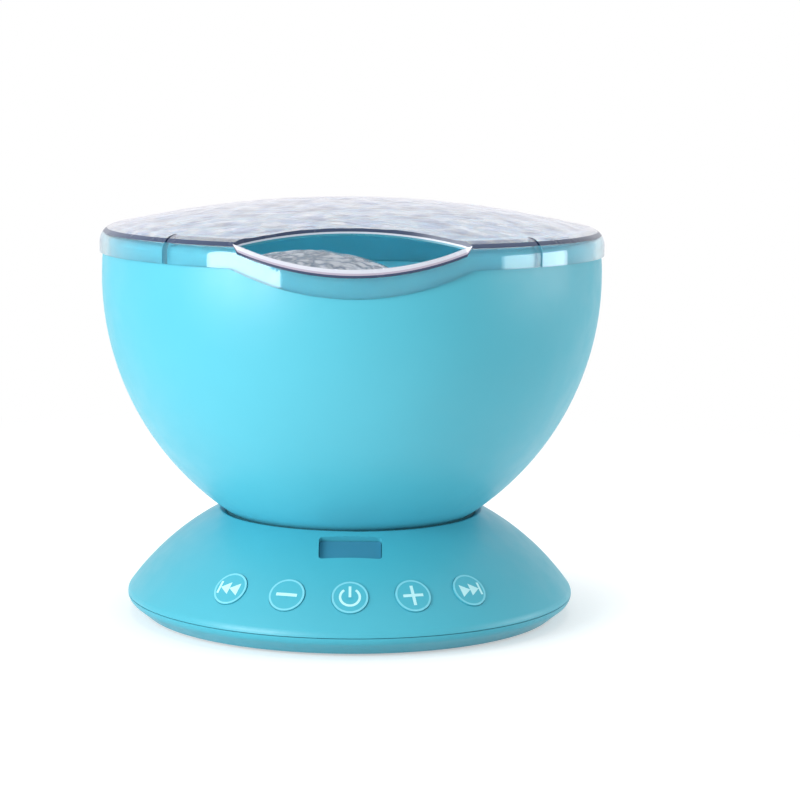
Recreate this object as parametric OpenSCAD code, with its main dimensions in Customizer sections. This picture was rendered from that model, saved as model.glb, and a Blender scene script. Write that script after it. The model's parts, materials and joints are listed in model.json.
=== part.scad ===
// Ocean wave projector: a lamp bowl with a wave lens that tilts on a round base.
// Millimetres, +Z up, the front faces -Y, origin on the table under the axis of the bowl.

/* [Bowl] */
// Largest outer radius of the bowl
bowl_r = 74.4; // [71:0.1:79]
// Radius of the arc that the side of the bowl follows
bowl_arc_r = 85.5; // [83:0.5:89]
// Height of the tilt centre above the table
pivot_z = 94; // [92:0.5:98]
// Rise of the widest ring of the bowl above the tilt centre
waist_rise = 7.7; // [6.5:0.1:9]
// Rise of the rim of the bowl above the tilt centre
rim_rise = 14.8; // [14:0.2:17]
// Wall of the bowl and of the base
wall = 2.2; // [1.8:0.1:2.6]

/* [Lens cover] */
// How far the cover stands out past the widest ring of the bowl
cover_step = 0.6; // [0.3:0.1:1.2]
// Rise of the crown of the cover above the rim of the bowl
crown_rise = 16.2; // [15:0.2:19]
// Radius of the crown of the cover
crown_r = 306; // [260:2:380]
// Radius of the rounded edge of the cover
cover_edge_r = 5; // [4:0.2:6]
// Wall of the cover
cover_wall = 2.2; // [1.6:0.1:2.6]
// Half of the width of the notch in the cover
notch_half = 31; // [26:0.5:36]
// Distance from the axis to the back edge of the notch
notch_back = 57; // [54:0.5:60]
// How far the seam dips under the notch
notch_dip = 7.4; // [6:0.1:8]
// Height of the lip left in front of the notch
lip_h = 7.8; // [6:0.1:9]
// Width of the four slits beside the snap lugs
slit_w = 0.8; // [0.5:0.1:1.5]

/* [Base] */
// Outer radius of the base, at its sharp edge before rounding
base_r = 68.2; // [66:0.2:74]
// Height of that edge
base_edge_z = 5.8; // [5.4:0.1:7]
// Radius of the underside of the base
base_foot_r = 62; // [60:0.5:64]
// Bulge of the sloping side of the base
base_bulge = 2.45; // [1.8:0.05:3]
// Rounding of the edge of the base
base_fillet = 3; // [2:0.1:3.4]
// Gap between the bowl and the opening of the base
seat_gap = 1; // [0.8:0.1:1.4]
// Height of the feet below the base
foot_h = 0.8; // [0.6:0.1:1.4]

/* [Tilt] */
// Largest forward tilt of the bowl, in degrees
tilt_max = 45; // [30:1:45]
// Lean of the clamp bolt toward the back, in degrees
bolt_lean = 25; // [22:0.5:25]
// Radius of the clamp bolt
bolt_r = 3; // [2.5:0.1:3.2]

/* [Keys] */
// Radius of a key
key_r = 5.2; // [4.5:0.1:5.4]
// Angle between neighbouring keys
key_step = 17.25; // [17:0.25:19]
// Place of the keys on the arc of the base's side, in degrees above its edge
key_slope = 10.1; // [8:0.05:12]
// Travel of a key
key_travel = 0.6; // [0.3:0.1:0.8]

/* [Wave drive] */
// Offset of the wave lens from the axis, along X
rotor_x = -13; // [-16:0.5:-9]
// Module of the two gears
gear_module = 1.25; // [1.2:0.05:1.3]
// Teeth of the ring gear
ring_teeth = 54; // [52:2:56]
// Teeth of the pinion
pinion_teeth = 12; // [12:2:14]
// Width of the gears
gear_w = 4; // [3:0.5:5]

/* [Ports] */
// Radius of the hole in the audio jack
jack_bore_r = 1.8; // [1.3:0.05:1.8]
// Half of the width of the port bay
bay_half = 14; // [12:0.5:15]

/* [Hidden] */
$fn = 96;

// Clearances
fit = 0.05;
slack = 0.2;
loose = 0.3;
far = 300;
// How far a cut runs on past the faces that it opens
through = 2;
// How far a post runs into its floor, and a bore past its faces
overlap = 1;

// Colours
aqua = "#62c2d6";
aqua_light = "#7fd0e2";
clear_grey = "#dfe4ee";
board_green = "#2f7d4f";
steel = "#b9bec4";
black_plastic = "#2b2d30";
white_plastic = "#eef0f0";

// Bowl: its side is an arc, and its hidden cap is a sphere about the tilt centre
seat_polar = 31;
pivot = [0, pivot_z];
rim_z = pivot_z + rim_rise;
bowl_centre = [bowl_r - bowl_arc_r, pivot_z + waist_rise];
function polar(a) = [sin(a), -cos(a)];
function dot(a, b) = a[0] * b[0] + a[1] * b[1];
// Distance from the tilt centre to the arc of the bowl, drawn in by an inset, at an angle from straight down
function reach(a, inset) =
    let(v = pivot - bowl_centre, s = dot(v, polar(a)))
    -s + sqrt(s * s - dot(v, v) + pow(bowl_arc_r - inset, 2));
cap_r = reach(seat_polar, 0);
// Largest radius about the tilt centre that passes the seat while the bowl tilts
sweep_r = max(cap_r, reach(seat_polar + tilt_max, 0));
// Angle up to which the cap can be cut from the arc
cap_end = 50;
cap_top = pivot_z - cap_r * cos(reach(cap_end, 0) < cap_r ? cap_end : seat_polar);
function bowl_inner_r(z) =
    bowl_centre[0] + sqrt(pow(bowl_arc_r - wall, 2) - pow(z - bowl_centre[1], 2));

// Base: its side is an arc from the opening down to the edge, then a bevel to the underside
dish_r = sweep_r + seat_gap;
lip_lead = 1.2;
base_open = pivot + dish_r * polar(seat_polar + lip_lead);
base_edge = [base_r, base_edge_z];
base_chord = base_edge - base_open;
base_chord_l = norm(base_chord);
base_out = [-base_chord[1], base_chord[0]] / base_chord_l;
base_arc_r = (pow(base_chord_l / 2, 2) + pow(base_bulge, 2)) / (2 * base_bulge);
base_centre = (base_open + base_edge) / 2 - base_out * (base_arc_r - base_bulge);
bevel = ([base_foot_r, foot_h] - base_edge) / norm([base_foot_r, foot_h] - base_edge);
bevel_in = [bevel[1], -bevel[0]];
fillet_start = base_edge + base_fillet * bevel_in - base_centre;
fillet_run = -dot(fillet_start, bevel)
    - sqrt(pow(dot(fillet_start, bevel), 2) - dot(fillet_start, fillet_start)
           + pow(base_arc_r - base_fillet, 2));
fillet_centre = base_edge + base_fillet * bevel_in + fillet_run * bevel;
fillet_high = base_centre + (fillet_centre - base_centre) * base_arc_r / (base_arc_r - base_fillet);
fillet_low = fillet_centre - base_fillet * bevel_in;
floor_t = 2;
floor_z = foot_h + floor_t;
// The shell and the plate of the base part at its widest ring
split_z = fillet_centre[1];
// Rounded lip of the opening, between the side of the base and the dish
function meet(a, ra, b, rb) =
    let(d = norm(b - a), u = (b - a) / d, k = (ra * ra - rb * rb + d * d) / (2 * d))
    a + k * u + sqrt(ra * ra - k * k) * [u[1], -u[0]];
lip_round = 0.8;
lip_corner = meet(base_centre, base_arc_r, pivot, dish_r);
lip_centre = meet(base_centre, base_arc_r - lip_round, pivot, dish_r + lip_round);
lip_side = base_centre + (lip_centre - base_centre) * base_arc_r / (base_arc_r - lip_round);
lip_dish = pivot + (lip_centre - pivot) * dish_r / (dish_r + lip_round);
function angle_of(p) = atan2(p[1] - base_centre[1], p[0] - base_centre[0]);
// Radius of the side of the base at a height, drawn in by an inset
function side_r(z, inset) =
    base_centre[0] + sqrt(pow(base_arc_r - inset, 2) - pow(z - base_centre[1], 2));
function bevel_inner_r(z) =
    base_edge[0] + wall * bevel_in[0]
    + (z - base_edge[1] - wall * bevel_in[1]) * bevel[0] / bevel[1];

// Seat ring in the dish of the base
seat_ring_low = 28.6;
seat_ring_high = 30.6;
seat_ring_sink = 1;

// Screws of the base and the bosses that they hold
base_boss_r = 4.6;
base_boss_in = 12;
base_boss_at = base_foot_r - base_boss_in;
base_boss_angles = [-55, 55, 135, -135];
screw_r = 1.45;
screw_head_r = 2.8;
screw_head_h = 1.8;
// Cross in a screw head, as shares of the head
cross_l = 0.7;
cross_w = 0.13;
cross_floor = 0.4;
base_screw_l = 10;

// Feet
foot_r = 5;
foot_in = 10;
foot_at = base_foot_r - foot_in;
foot_sink = 1;
foot_chamfer = 0.6;

// Tilt clamp, as distances from the tilt centre
cap_inner_r = cap_r - wall;
pad_t = 1.2;
pad_r = 8.5;
pad_out = cap_inner_r - loose;
plate_start = bolt_lean - 10;
plate_end = bolt_lean + tilt_max + 5;
plate_out = pad_out - pad_t - fit;
plate_t = 1.4;
plate_in = plate_out - plate_t;
plate_half = 7;
head_r = 5.2;
head_h = 3.2;
head_at = sqrt(pow(plate_in, 2) - pow(head_r, 2)) - fit;
washer_at = dish_r + wall + fit;
washer_t = 0.8;
washer_r = 7;
washer_cone = 0.6;
washer_stack = 2 * (washer_cone + washer_t);
nut_at = washer_at + washer_stack + fit;
nut_h = 4;
nut_r = 5.8;
bolt_tail = 1.2;
bolt_end = nut_at + nut_h + bolt_tail;
bolt_wall = 1.2;
bolt_bore_r = bolt_r - bolt_wall;
slot_play = 0.5;
slot_half = bolt_r + slot_play;

// Speaker, facing down through the grille
speaker_y = -8;
speaker_r = 18;
speaker_room = 1.5;
speaker_top = pivot_z - dish_r - wall - speaker_room;
speaker_magnet_h = 4.5;
speaker_back = speaker_top - speaker_magnet_h;
speaker_rim = 2.4;
speaker_rim_t = 1.5;
speaker_flare = 0.3;
speaker_neck_r = 10.5;
speaker_neck_t = 0.7;
speaker_hole_r = 4.2;
speaker_yoke_t = 1.2;
cone_lift = 0.5;
cone_drop = 2.8;
cone_t = 0.6;
cone_fold = 0.3;
cone_surround = 1.6;
cone_dome_r = 4;
cone_dome_sink = 0.4;
cone_edge = 0.2;
magnet_plate_r = 8;
magnet_plate_t = 0.8;
magnet_r = 9.4;
grille_hole_r = 1.1;
grille_pitch = 4.2;

// Main board with its ports
board_half = 25;
board_post_r = 2.8;
board_post_h = 7;
board_t = 1.6;
board_z = floor_z + board_post_h;
board_top = board_z + board_t;
bay_under = 3.2;
bay_over = 7.4;
bay_depth = 9.02;
bay_room = 6;
bay_low = board_top - bay_under;
bay_high = board_top + bay_over;
bay_wall_y = side_r(bay_low, 0) - bay_depth;
board_back = 4;
board_l = 31.5;
board_y = [bay_wall_y - board_back - board_l, bay_wall_y - board_back];
board_hole_in = 4;
board_hole_x = board_half - board_hole_in;
board_hole_front = 5;
board_hole_back = 6.5;
board_hole_y = [board_y[0] + board_hole_front, board_y[1] - board_hole_back];
board_holes = [for (x = [-board_hole_x, board_hole_x], y = board_hole_y) [x, y]];
board_screw_r = 1;
board_screw_l = 5.5;
board_screw_head_r = 1.9;
board_screw_head_h = 1.3;
board_step = 8;
chip_at = [-16, board_y[0] + board_step];
chip_size = [8, 6, 1.6];
chip_pins = 6;
chip_pitch = 1.2;
chip_pin_w = 0.5;
chip_pin_t = 0.6;
chip_pin_l = 1;
chip_lift = 0.3;
capacitor_x = 13;
capacitor_at = [for (k = [1, 2]) [capacitor_x, board_y[0] + k * board_step]];
capacitor_r = 2.5;
capacitor_h = 6;
capacitor_groove = [1, 1.3, 1.6];
capacitor_bevel = 0.3;
usb_x = -7;
usb_w = 7.6;
usb_h = 2.8;
usb_l = 5.8;
usb_t = 0.35;
usb_back = 1;
usb_front = 1;
usb_tongue_t = 0.45;
usb_over = 0.55;
jack_x = 6.5;
jack_w = 6.2;
jack_h = 5;
jack_l = 12;
jack_neck_r = 2.7;
jack_z = board_top + jack_h / 2 + fit;
jack_bore_l = 12;

// Keys, in depths below the outer face of the base
key_gap = 0.1;
key_proud = 0.35;
flange_lap = 1.2;
flange_r = key_r + flange_lap;
// Sag of the inner face of the base across the flange of a key
flange_sag = pow(flange_r, 2) / (2 * (base_arc_r - wall));
flange_top = wall + flange_sag + slack;
flange_t = 1;
stem_r = 1.6;
stem_l = 0.9;
stem_end = flange_top + flange_t + stem_l;
plunger_top = stem_end + key_travel + slack;
plunger_h = 0.5;
switch_h = 1.5;
switch_w = 6;
plunger_r = 1.7;
key_board_top = plunger_top + plunger_h + switch_h;
key_board_t = 0.8;
key_board_w = 11.5;
pad_top = key_board_top + key_board_t;
bracket_t = 2;
bracket_half = 6.2;
bracket_leg = 3;
key_angle = angle_of(base_edge) + key_slope;
key_n = [cos(key_angle), sin(key_angle)];
key_t = [-sin(key_angle), cos(key_angle)];
key_at = base_centre + base_arc_r * key_n;
// Crown of a key: the mean of the two curvatures of the base under it
key_crown_r = 2 / (1 / base_arc_r + key_n[0] / key_at[0]);
function key_point(depth, up) = key_at - depth * key_n + up * key_t;
// Neighbouring parts of the bracket overlap up from the middle of the keys
bracket_w = 2 * key_point(pad_top, 0)[0] * tan(key_step / 2) + fit;

// Lip of the base plate, inside the shell and below the flanges of the keys
flange_low = key_point(flange_top + flange_t + key_travel, -flange_r)[1];
lip_ring_t = 1.6;
lip_ring_h = 2.6;
lip_ring_top = min(split_z + lip_ring_h, flange_low - loose);
lip_ring_out = side_r(lip_ring_top, wall) - loose;

// Infrared window and receiver behind it
window_drop = 6.9;
window_angle = angle_of(base_open) - window_drop / base_arc_r * 180 / PI;
window_at = base_centre + base_arc_r * [cos(window_angle), sin(window_angle)];
window_w = 18;
window_l = 8.8;
window_sink = 1.9;
window_corner = 1;
window_rim = 1.1;
window_inset = 0.95;
window_seat = wall + window_inset;
window_rim_t = 1;
ir_w = 6;
ir_h = 4;
ir_body_h = 3;
ir_lens_r = 1.7;
ir_top = window_seat + window_rim_t + loose;
ir_board_top = ir_top + ir_h + fit;
ir_board_t = 1;
ir_board_l = 8;
ir_post_r = 1.5;
ir_post_gap = 0.6;
ir_post_x = window_w / 2 + window_rim + ir_post_r + ir_post_gap;
ir_board_end = 0.5;

// Deck and wave drive, as heights
deck_t = 2;
deck_drop = 16.8;
deck_z = rim_z - deck_drop;
deck_top = deck_z + deck_t;
gear_z = deck_top + loose;
gear_top = gear_z + gear_w;
lid_z = gear_top + loose;
lid_t = 2;
deck_gap = 1;
deck_post_r = 4;
deck_post_h = 44;
screw_grip = 7;
deck_post_angles = [45, 135, 225, 315];
ring_pitch_r = gear_module * ring_teeth / 2;
pinion_pitch_r = gear_module * pinion_teeth / 2;
addendum = 0.8 * gear_module;
dedendum = 1.05 * gear_module;
backlash = 0.3;
pressure = 25;
ring_rim = 3.3;
hub_r = ring_pitch_r - dedendum - ring_rim;
hub_t = 2.5;
hub_in = hub_r - hub_t;
motor_x = rotor_x + ring_pitch_r + pinion_pitch_r;
lens_hole_lap = 0.4;
lens_hole_r = ring_pitch_r - dedendum - lens_hole_lap;
lens_lap = 1.5;
lens_r = hub_r + lens_lap;
lens_t = 2;
lens_crown_r = 60;
lens_rise = 0.6;
lens_top = rim_z + lens_rise;
reflector_t = 1.6;
reflector_wall = 2.08;
reflector_h = 30;
reflector_low = deck_z - reflector_h;
reflector_low_r = 17.5;
reflector_step = 0.7;
reflector_top_r = hub_in - reflector_step;
reflector_foot_r = 24;
reflector_foot_t = 3;
reflector_rim_t = 1.8;
reflector_rim_w = 3.4;
reflector_ear_out = 4.5;
reflector_ear_at = hub_in + reflector_ear_out;
reflector_ear_r = 3.6;
reflector_ear_angles = [0, 180, 270];
led_board_t = 1.6;
led_r = 2.5;
led_foot = 0.4;
led_foot_h = 1;
led_h = 5;
led_counts = [8, 4];
led_ring_r = [13.2, 5.4];
lamp_screw_r = 1;
lamp_screw_head_r = 2;
lamp_screw_head_h = 1.4;
lamp_screw_l = 3.4;
lamp_screw_bite = 1.7;
lamp_screw_at = 21.2;
lamp_screw_angles = [0, 120, 240];
motor_r = 10;
motor_h = 17;
motor_flange_t = 1;
motor_ear_at = 15;
motor_boss_r = 3;
motor_boss_h = 1.6;
motor_ear_r = 4;
motor_edge = 1;
motor_screw_end = 3;
motor_screw_room = 5;
shaft_r = 1.5;
shaft_l = 22;

// Lens cover
cover_r = bowl_r + cover_step;
// How far its form runs down below the rim, before the seam cuts it
skirt_run = 20;
crown_z = rim_z + crown_rise;
crown_centre = crown_z - crown_r;
edge_centre = [cover_r - cover_edge_r,
               crown_centre + sqrt(pow(crown_r - cover_edge_r, 2) - pow(cover_r - cover_edge_r, 2))];
seam_gap = 0.1;
// Collar of the bowl, inside the skirt of the cover
collar_gap = 0.4;
collar_t = 2;
collar_drop = 0.6;
collar_out = cover_r - cover_wall - collar_gap;
collar_in = collar_out - collar_t;
collar_root = 3;
collar_low = rim_z - notch_dip - collar_root;
deck_r = collar_in - deck_gap;
deck_post_in = 9.4;
deck_post_at = deck_r - deck_post_in;
lip_low = rim_z - notch_dip + lip_h;
notch_rise = 3;
lip_high = edge_centre[1] + notch_rise;
lip_r = (pow(notch_half, 2) + pow(lip_high - lip_low, 2)) / (2 * (lip_high - lip_low));
notch_end = 3;
notch_front = sqrt(pow(cover_r - notch_end, 2) - pow(notch_half, 2));
notch_r = (pow(notch_half, 2) + pow(notch_front - notch_back, 2)) / (2 * (notch_front - notch_back));
dip_lap = 2.5;
dip_half = notch_half + dip_lap;
dip_r = (pow(dip_half, 2) + pow(notch_dip, 2)) / (2 * notch_dip);
slit_angles = [-44.3, 44.3, 135.7, -135.7];
slit_in = 5.2;

// Placing and shared shapes
module at_pivot() {
    translate([0, 0, pivot_z])
        children();
}

module at_bolt() {
    at_pivot()
        rotate([bolt_lean, 0, 0])
            children();
}

// Frame on the side of the base: +Z along the outward normal, +Y up the slope
module on_side(angle, place, slope) {
    rotate([0, 0, angle])
        translate([0, -place[0], place[1]])
            rotate([90 - slope, 0, 0])
                children();
}

module around(angles, distance) {
    for (a = angles)
        rotate([0, 0, a])
            translate([0, -distance, 0])
                children();
}

module tube(outer, inner, height) {
    difference() {
        cylinder(r = outer, h = height);
        translate([0, 0, -overlap])
            cylinder(r = inner, h = height + 2 * overlap);
    }
}

// Cylinder from one depth to another below the origin of a local frame
module sunk(r, from, to) {
    translate([0, 0, -to])
        cylinder(r = r, h = to - from);
}

module right_half() {
    intersection() {
        children();
        translate([0, -far])
            square([far, 2 * far]);
    }
}

// Plate with rounded corners, centred on the origin and rising from it
module round_plate(w, l, h, r) {
    translate([-w / 2 + r, -l / 2, 0])
        cube([w - 2 * r, l, h]);
    translate([-w / 2, -l / 2 + r, 0])
        cube([w, l - 2 * r, h]);
    for (x = [-1, 1], y = [-1, 1])
        translate([x * (w / 2 - r), y * (l / 2 - r), 0])
            cylinder(r = r, h = h);
}

// Screw with its head above the origin and a cross in the head
module cross_screw(r, length, head_r, head_h) {
    translate([0, 0, -length])
        cylinder(r = r, h = length);
    difference() {
        cylinder(r = head_r, h = head_h);
        for (a = [0, 90])
            rotate([0, 0, a])
                translate([-head_r * cross_l, -head_r * cross_w, head_h * cross_floor])
                    cube([2 * head_r * cross_l, 2 * head_r * cross_w, head_h]);
    }
}

// Wedge about the tilt axis between two angles from straight down, positive toward the back
module tilt_wedge(from, to, half) {
    rotate([90, 0, 90])
        translate([0, 0, -half])
            linear_extrude(2 * half)
                polygon(concat([[0, 0]], [for (i = [0 : 6]) far * polar(from + (to - from) * i / 6)]));
}

module ball_shell(outer, inner) {
    difference() {
        sphere(r = outer);
        sphere(r = inner);
    }
}

// Involute gear, with a tooth on +X
function involute(a) = tan(a) * 180 / PI - a;
function tooth_half(r, pitch_r) =
    let(thick = PI * gear_module / 2 - backlash / 2, base = pitch_r * cos(pressure))
    thick / (2 * pitch_r) * 180 / PI + involute(pressure) - involute(acos(min(1, base / r)));

module gear_outline(teeth) {
    pitch_r = gear_module * teeth / 2;
    root = pitch_r - dedendum;
    tip = pitch_r + addendum;
    rise = [for (i = [0 : 4]) root + (tip - root) * i / 4];
    fall = [for (i = [4 : -1 : 0]) root + (tip - root) * i / 4];
    polygon([for (k = [0 : teeth - 1])
             each concat([for (r = rise) r * spoke(k * 360 / teeth - tooth_half(r, pitch_r))],
                         [for (r = fall) r * spoke(k * 360 / teeth + tooth_half(r, pitch_r))])]);
}

function spoke(a) = [cos(a), sin(a)];

// Base
module base_outline() {
    right_half() {
        difference() {
            intersection() {
                translate(base_centre)
                    circle(r = base_arc_r);
                polygon([[0, foot_h], [base_foot_r, foot_h], base_edge, [base_r, far], [0, far]]);
            }
            polygon([fillet_centre, fillet_high, 2 * base_edge - fillet_centre, fillet_low]);
        }
        translate(fillet_centre)
            circle(r = base_fillet);
    }
}

module base_hollow() {
    right_half()
        intersection() {
            translate(base_centre)
                circle(r = base_arc_r - wall);
            polygon([[0, floor_z], [bevel_inner_r(floor_z), floor_z],
                     [bevel_inner_r(base_edge_z + wall), base_edge_z + wall], [base_r, far], [0, far]]);
        }
}

module seat_wedge(clear) {
    inner = sweep_r - through;
    outer = dish_r + seat_ring_sink + through;
    polygon([pivot + inner * polar(seat_ring_low - clear), pivot + outer * polar(seat_ring_low - clear),
             pivot + outer * polar(seat_ring_high + clear), pivot + inner * polar(seat_ring_high + clear)]);
}

module base_shell_outline() {
    difference() {
        union() {
            difference() {
                base_outline();
                base_hollow();
            }
            intersection() {
                base_outline();
                translate(pivot)
                    circle(r = dish_r + wall);
            }
        }
        translate(pivot)
            circle(r = dish_r);
        intersection() {
            translate(pivot)
                circle(r = dish_r + seat_ring_sink);
            seat_wedge(fit);
        }
        square([far, split_z]);
        polygon([lip_centre, lip_side, 2 * lip_corner - lip_centre, lip_dish]);
    }
    translate(lip_centre)
        circle(r = lip_round);
}

module inside_base() {
    intersection() {
        rotate_extrude()
            right_half()
                translate(base_centre)
                    circle(r = base_arc_r - wall / 2);
        children();
    }
}

module bay_block(grow, low, high) {
    translate([-bay_half - grow, bay_wall_y - grow, low])
        cube([2 * (bay_half + grow), base_r, high - low]);
}

module base_shell() {
    color(aqua)
        difference() {
            union() {
                rotate_extrude()
                    base_shell_outline();
                inside_base()
                    around(base_boss_angles, base_boss_at)
                        translate([0, 0, split_z])
                            cylinder(r = base_boss_r, h = far);
                inside_base()
                    for (x = [-ir_post_x, ir_post_x])
                        on_side(0, window_at, window_angle)
                            translate([x, 0, 0])
                                sunk(ir_post_r, 0, ir_board_top);
                intersection() {
                    rotate_extrude()
                        difference() {
                            base_outline();
                            square([far, split_z]);
                        }
                    bay_block(wall, split_z, bay_high + wall);
                }
            }
            bay_block(0, bay_low, bay_high);
            translate([usb_x, bay_wall_y, board_top + fit + usb_h / 2])
                cube([usb_w + 2 * slack, 3 * wall, usb_h + 2 * slack], center = true);
            translate([jack_x, bay_wall_y + wall, jack_z])
                rotate([90, 0, 0])
                    cylinder(r = jack_neck_r + slack, h = 3 * wall);
            for (i = [-2 : 2])
                on_side(i * key_step, key_at, key_angle)
                    translate([0, 0, -flange_top])
                        cylinder(r = key_r + key_gap, h = flange_top + through);
            on_side(0, window_at, window_angle)
                translate([0, 0, -window_seat])
                    round_plate(window_w, window_l, window_seat + through, window_corner);
            around(base_boss_angles, base_boss_at)
                translate([0, 0, split_z - overlap])
                    cylinder(r = screw_r + fit, h = base_screw_l);
            at_bolt()
                sunk(bolt_r + loose, dish_r - through, dish_r + wall + through);
            base_dish_clear();
        }
}

// Keeps the bosses and the port bay out of the dish
module base_dish_clear() {
    at_pivot()
        sphere(r = dish_r);
}

module base_plate() {
    color(aqua)
        difference() {
            union() {
                rotate_extrude() {
                    difference() {
                        base_outline();
                        base_hollow();
                        translate([0, split_z - slack])
                            square([far, far]);
                    }
                    intersection() {
                        base_outline();
                        translate([lip_ring_out - lip_ring_t, 0])
                            square([lip_ring_t, lip_ring_top]);
                    }
                }
                around(base_boss_angles, base_boss_at)
                    translate([0, 0, floor_z - overlap])
                        cylinder(r = base_boss_r, h = split_z - floor_z + overlap);
                for (p = board_holes)
                    translate([p[0], p[1], floor_z - overlap])
                        cylinder(r = board_post_r, h = board_z - floor_z + overlap);
                translate([0, speaker_y, floor_z - overlap])
                    tube(speaker_r + loose + wall, speaker_r + loose, wall + 2 * overlap);
            }
            around(base_boss_angles, base_boss_at) {
                translate([0, 0, foot_h - overlap])
                    cylinder(r = screw_head_r + slack, h = screw_head_h + overlap + slack);
                cylinder(r = screw_r + slack, h = far);
            }
            around([0, 90, 180, 270], foot_at)
                cylinder(r = foot_r + fit, h = foot_h + foot_sink);
            for (p = board_holes)
                translate([p[0], p[1], floor_z])
                    cylinder(r = board_screw_r + fit, h = board_z);
            for (ring = [[1, 0], [6, 1], [12, 2]])
                for (k = [0 : ring[0] - 1])
                    translate([0, speaker_y, 0])
                        rotate([0, 0, k * 360 / ring[0]])
                            translate([ring[1] * grille_pitch, 0, 0])
                                cylinder(r = grille_hole_r, h = floor_z + overlap);
            translate([-bay_half - wall - slack, board_y[1] - bay_room, split_z - slack])
                cube([2 * (bay_half + wall + slack), base_r, far]);
        }
}

module rubber_feet() {
    color(black_plastic)
        around([0, 90, 180, 270], foot_at)
            rotate_extrude()
                polygon([[0, 0], [foot_r - foot_chamfer, 0], [foot_r, foot_chamfer],
                         [foot_r, foot_h + foot_sink], [0, foot_h + foot_sink]]);
}

module base_screws() {
    color(steel)
        around(base_boss_angles, base_boss_at)
            translate([0, 0, foot_h + screw_head_h + slack])
                mirror([0, 0, 1])
                    cross_screw(screw_r, base_screw_l, screw_head_r, screw_head_h);
}

module seat_ring() {
    color(black_plastic)
        rotate_extrude()
            intersection() {
                difference() {
                    translate(pivot)
                        circle(r = dish_r + seat_ring_sink - fit);
                    translate(pivot)
                        circle(r = sweep_r + 2 * fit);
                }
                seat_wedge(0);
            }
}

// Tilt clamp
module tilt_bolt() {
    color(steel)
        at_bolt()
            difference() {
                union() {
                    sunk(head_r, head_at - head_h, head_at);
                    sunk(bolt_r, head_at - fit, bolt_end);
                }
                sunk(bolt_bore_r, head_at - head_h - through, bolt_end + through);
            }
}

module slide_plate() {
    color(white_plastic)
        difference() {
            intersection() {
                at_pivot()
                    intersection() {
                        ball_shell(plate_out, plate_in);
                        tilt_wedge(plate_start, plate_end, plate_half);
                    }
                rotate_extrude()
                    bowl_side(wall + loose);
            }
            at_bolt()
                sunk(bolt_r + slack, plate_in - through, plate_out + through);
        }
}

module clamp_pad() {
    color(black_plastic)
        difference() {
            intersection() {
                at_pivot()
                    ball_shell(pad_out, pad_out - pad_t);
                at_bolt()
                    sunk(pad_r, pad_out - pad_t - through, pad_out + through);
            }
            at_bolt()
                sunk(bolt_r + slack, pad_out - pad_t - 2 * through, pad_out + 2 * through);
        }
}

module spring_washers() {
    hole = bolt_r + slack;
    color(steel)
        at_bolt()
            rotate_extrude() {
                polygon([[hole, -washer_at], [washer_r, -washer_at - washer_cone],
                         [washer_r, -washer_at - washer_cone - washer_t], [hole, -washer_at - washer_t]]);
                polygon([[hole, -washer_at - washer_stack + washer_t],
                         [washer_r, -washer_at - washer_cone - washer_t - fit],
                         [washer_r, -washer_at - washer_cone - 2 * washer_t],
                         [hole, -washer_at - washer_stack]]);
            }
}

module tilt_nut() {
    color(steel)
        at_bolt()
            difference() {
                translate([0, 0, -nut_at - nut_h])
                    cylinder(r = nut_r, h = nut_h, $fn = 6);
                sunk(bolt_r + fit, nut_at - through, nut_at + nut_h + through);
            }
}

// Speaker
module at_speaker() {
    translate([0, speaker_y, 0])
        children();
}

module speaker_frame() {
    low = floor_z + fit;
    rim = speaker_r - speaker_rim;
    color(black_plastic)
        at_speaker()
            rotate_extrude()
                polygon([[rim, low], [speaker_r, low], [speaker_r, low + speaker_rim_t],
                         [speaker_neck_r, speaker_back], [speaker_hole_r, speaker_back],
                         [speaker_hole_r, speaker_back - speaker_yoke_t],
                         [speaker_neck_r - speaker_neck_t, speaker_back - speaker_yoke_t],
                         [rim, low + speaker_rim_t + speaker_flare]]);
}

module speaker_cone() {
    rim = speaker_r - speaker_rim - fit;
    low = floor_z + cone_lift;
    high = speaker_back - cone_drop;
    color("#3a3a3c")
        at_speaker()
            rotate_extrude()
                polygon([[rim, low], [rim, low + cone_t], [rim - cone_surround, low + cone_t + cone_fold],
                         [cone_dome_r, high + cone_t], [0, high + cone_t - cone_dome_sink],
                         [0, high - cone_dome_sink], [cone_dome_r - cone_edge, high],
                         [rim - cone_surround - 2 * cone_edge, low + cone_fold]]);
}

module speaker_magnet() {
    color(steel)
        at_speaker()
            translate([0, 0, speaker_back + fit])
                rotate_extrude()
                    polygon([[0, 0], [magnet_plate_r, 0], [magnet_plate_r, magnet_plate_t],
                             [magnet_r, magnet_plate_t], [magnet_r, speaker_magnet_h - magnet_plate_t],
                             [magnet_plate_r, speaker_magnet_h - magnet_plate_t],
                             [magnet_plate_r, speaker_magnet_h], [0, speaker_magnet_h]]);
}

// Main board and ports
module main_board() {
    color(board_green)
        translate([0, 0, board_z + fit])
            linear_extrude(board_t - fit)
                difference() {
                    translate([-board_half, board_y[0]])
                        square([2 * board_half, board_y[1] - board_y[0]]);
                    for (p = board_holes)
                        translate(p)
                            circle(r = board_screw_r + slack);
                }
}

module board_screws() {
    color(steel)
        for (p = board_holes)
            translate([p[0], p[1], board_top + fit])
                cross_screw(board_screw_r, board_screw_l, board_screw_head_r, board_screw_head_h);
}

module control_chip() {
    color(black_plastic)
        translate([chip_at[0], chip_at[1], board_top + fit]) {
            translate([0, chip_pin_l, chip_lift])
                cube(chip_size);
            for (i = [0 : chip_pins - 1])
                translate([chip_size[0] / 2 + (i - (chip_pins - 1) / 2) * chip_pitch - chip_pin_w / 2, 0, 0])
                    cube([chip_pin_w, chip_size[1] + 2 * chip_pin_l, chip_pin_t]);
        }
}

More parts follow.
